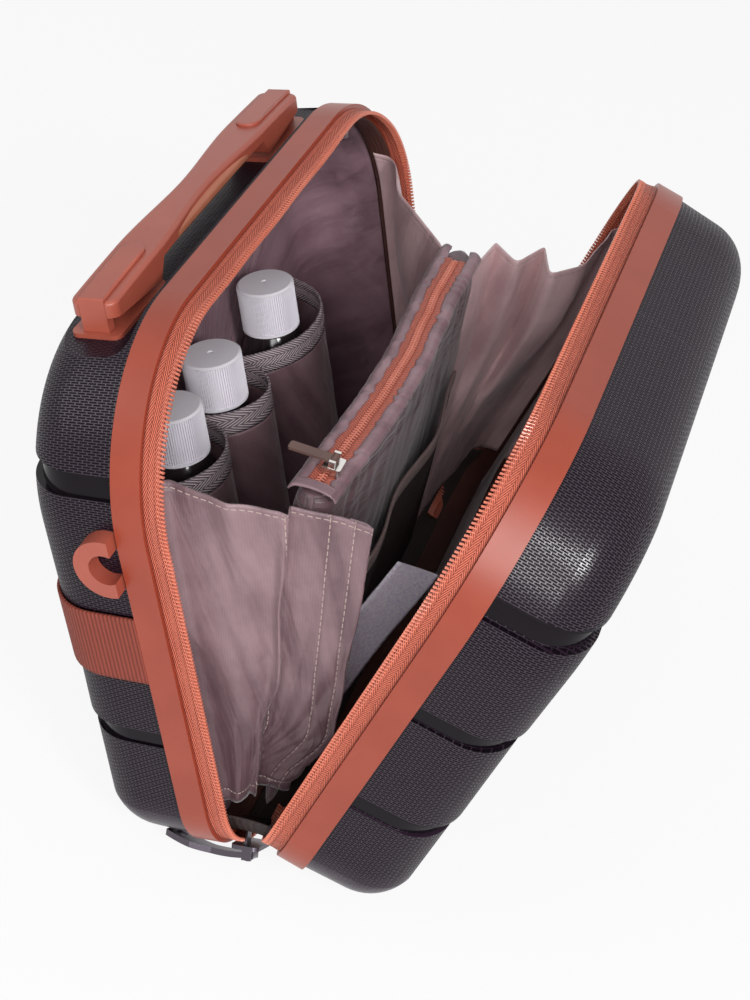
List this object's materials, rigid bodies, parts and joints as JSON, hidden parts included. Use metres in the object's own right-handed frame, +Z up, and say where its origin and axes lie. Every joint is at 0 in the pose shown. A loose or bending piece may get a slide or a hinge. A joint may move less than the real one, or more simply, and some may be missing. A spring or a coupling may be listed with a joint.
{
  "type": "beauty case",
  "caption": "Hard-shell beauty case with a carrying handle, a zip round the rims, a zipped divider, side gussets, bottle pockets and a mirror, standing open on its two shells.",
  "frame": {"origin": "middle of the bounding box's bottom face, on the floor that both shells stand on", "axes": "+Z up, +X along the hinge from the near end to the far end, +Y towards the back shell that carries the handle"},
  "size_m": [0.3474, 0.2644, 0.2692],
  "materials": {
    "shell": "satin near-black hard shell with a fine pressed brick-like texture",
    "band": "smooth terracotta rim band with a soft sheen",
    "handle": "smooth terracotta moulding",
    "handle_pad": "softer light brown underside",
    "guide": "black moulding inside the shell",
    "zip_tape": "herringbone woven zip tape",
    "zip_coil": "nylon coil of the zip",
    "facing": "woven brown binding strip with stitches",
    "webbing": "ribbed elastic webbing",
    "lining": "satin taupe lining cloth",
    "pocket_elastic": "elastic band with a herringbone weave",
    "net": "dark brown net",
    "foam": "grey packing foam",
    "mirror": "silvered acrylic",
    "bottle": "dark glossy bottle",
    "cap": "white ribbed cap",
    "chrome": "bright plated slider",
    "gunmetal": "dark plated zip slider and puller",
    "steel": "plain screws"
  },
  "bodies": {
    "back": {"back_shell": "shell", "back_band": "band", "back_zip_tape": "zip_tape", "back_zip_coil": "zip_coil", "hinge_strip": "lining", "back_facing": "facing", "back_lining": "lining", "handle_base_near": "handle", "handle_base_far": "handle", "handle_guide_near": "guide", "handle_guide_far": "guide", "handle_screws": "steel", "side_ring_near": "handle", "side_ring_far": "handle", "trolley_strap": "webbing", "bottle_pockets": "lining", "pocket_bands": "pocket_elastic"},
    "front": {"front_shell": "shell", "front_band": "band", "front_zip_tape": "zip_tape", "front_zip_coil": "zip_coil", "front_facing": "facing", "mirror_board": "lining", "mirror": "mirror", "foam_sheet": "foam"},
    "handle": {"handle_grip": "handle", "handle_underside": "handle_pad", "handle_bracket_near": "handle", "handle_bracket_far": "handle"},
    "divider": {"divider_pouch": "lining", "divider_tape": "zip_tape", "divider_coil": "zip_coil", "divider_tab": "lining", "net_pocket": "net", "net_binding": "pocket_elastic", "near_gusset": "lining", "far_gusset": "lining"},
    "divider_slider": {"divider_slider": "chrome"},
    "divider_pull": {"divider_pull": "gunmetal"},
    "zip_slider": {"zip_slider": "gunmetal"},
    "zip_puller": {"zip_puller": "gunmetal"},
    "bottle_1": {"bottle_1": "bottle"},
    "cap_1": {"bottle_cap_1": "cap"},
    "bottle_2": {"bottle_2": "bottle"},
    "cap_2": {"bottle_cap_2": "cap"},
    "bottle_3": {"bottle_3": "bottle"},
    "cap_3": {"bottle_cap_3": "cap"}
  },
  "joints": [
    {"name": "case_hinge", "type": "hinge", "parent": "back", "child": "front", "pos_m": [0, 0.00202, 0.00927], "axis": [1, 0, 0], "range_deg": [-30.7, 0], "deforming": ["near_gusset", "far_gusset", "foam_sheet"]},
    {"name": "divider_hinge", "type": "hinge", "parent": "back", "child": "divider", "pos_m": [0, 0.00202, 0.00927], "axis": [1, 0, 0], "range_deg": [-15.35, 0]},
    {"name": "handle_lift", "type": "slide", "parent": "back", "child": "handle", "axis": [0, 0.2135, 0.977], "range_m": [0, 0.012]},
    {"name": "zip_slider_run", "type": "hinge", "parent": "back", "child": "zip_slider", "pos_m": [-0.1275, 0.02033, 0.04621], "axis": [0, -0.977, 0.2135], "range_deg": [0, 10]},
    {"name": "zip_puller_swing", "type": "hinge", "parent": "zip_slider", "child": "zip_puller", "pos_m": [-0.15238, 0.01246, 0.01017], "axis": [-0.829, 0.1194, 0.5463], "range_deg": [0, 150]},
    {"name": "divider_slider_run", "type": "slide", "parent": "divider", "child": "divider_slider", "axis": [1, 0, 0], "range_m": [0, 0.165]},
    {"name": "divider_pull_swing", "type": "hinge", "parent": "divider_slider", "child": "divider_pull", "pos_m": [-0.121, 0.00039, 0.22969], "axis": [1, 0, 0], "range_deg": [-15, 175]},
    {"name": "bottle_1_lift", "type": "slide", "parent": "back", "child": "bottle_1", "axis": [0, 0.2135, 0.977], "range_m": [0, 0.034]},
    {"name": "cap_1_turn", "type": "hinge", "parent": "bottle_1", "child": "cap_1", "pos_m": [0.052, 0.0932, 0.17359], "axis": [0, 0.2135, 0.977], "range_deg": [0, 360]},
    {"name": "bottle_2_lift", "type": "slide", "parent": "back", "child": "bottle_2", "axis": [0, 0.2135, 0.977], "range_m": [0, 0.034]},
    {"name": "cap_2_turn", "type": "hinge", "parent": "bottle_2", "child": "cap_2", "pos_m": [-0.0185, 0.0932, 0.17359], "axis": [0, 0.2135, 0.977], "range_deg": [0, 360]},
    {"name": "bottle_3_lift", "type": "slide", "parent": "back", "child": "bottle_3", "axis": [0, 0.2135, 0.977], "range_m": [0, 0.034]},
    {"name": "cap_3_turn", "type": "hinge", "parent": "bottle_3", "child": "cap_3", "pos_m": [-0.066, 0.0932, 0.17359], "axis": [0, 0.2135, 0.977], "range_deg": [0, 360]}
  ],
  "couplings": [
    {"joint": "divider_hinge", "follows": "case_hinge", "ratio": 0.5}
  ]
}
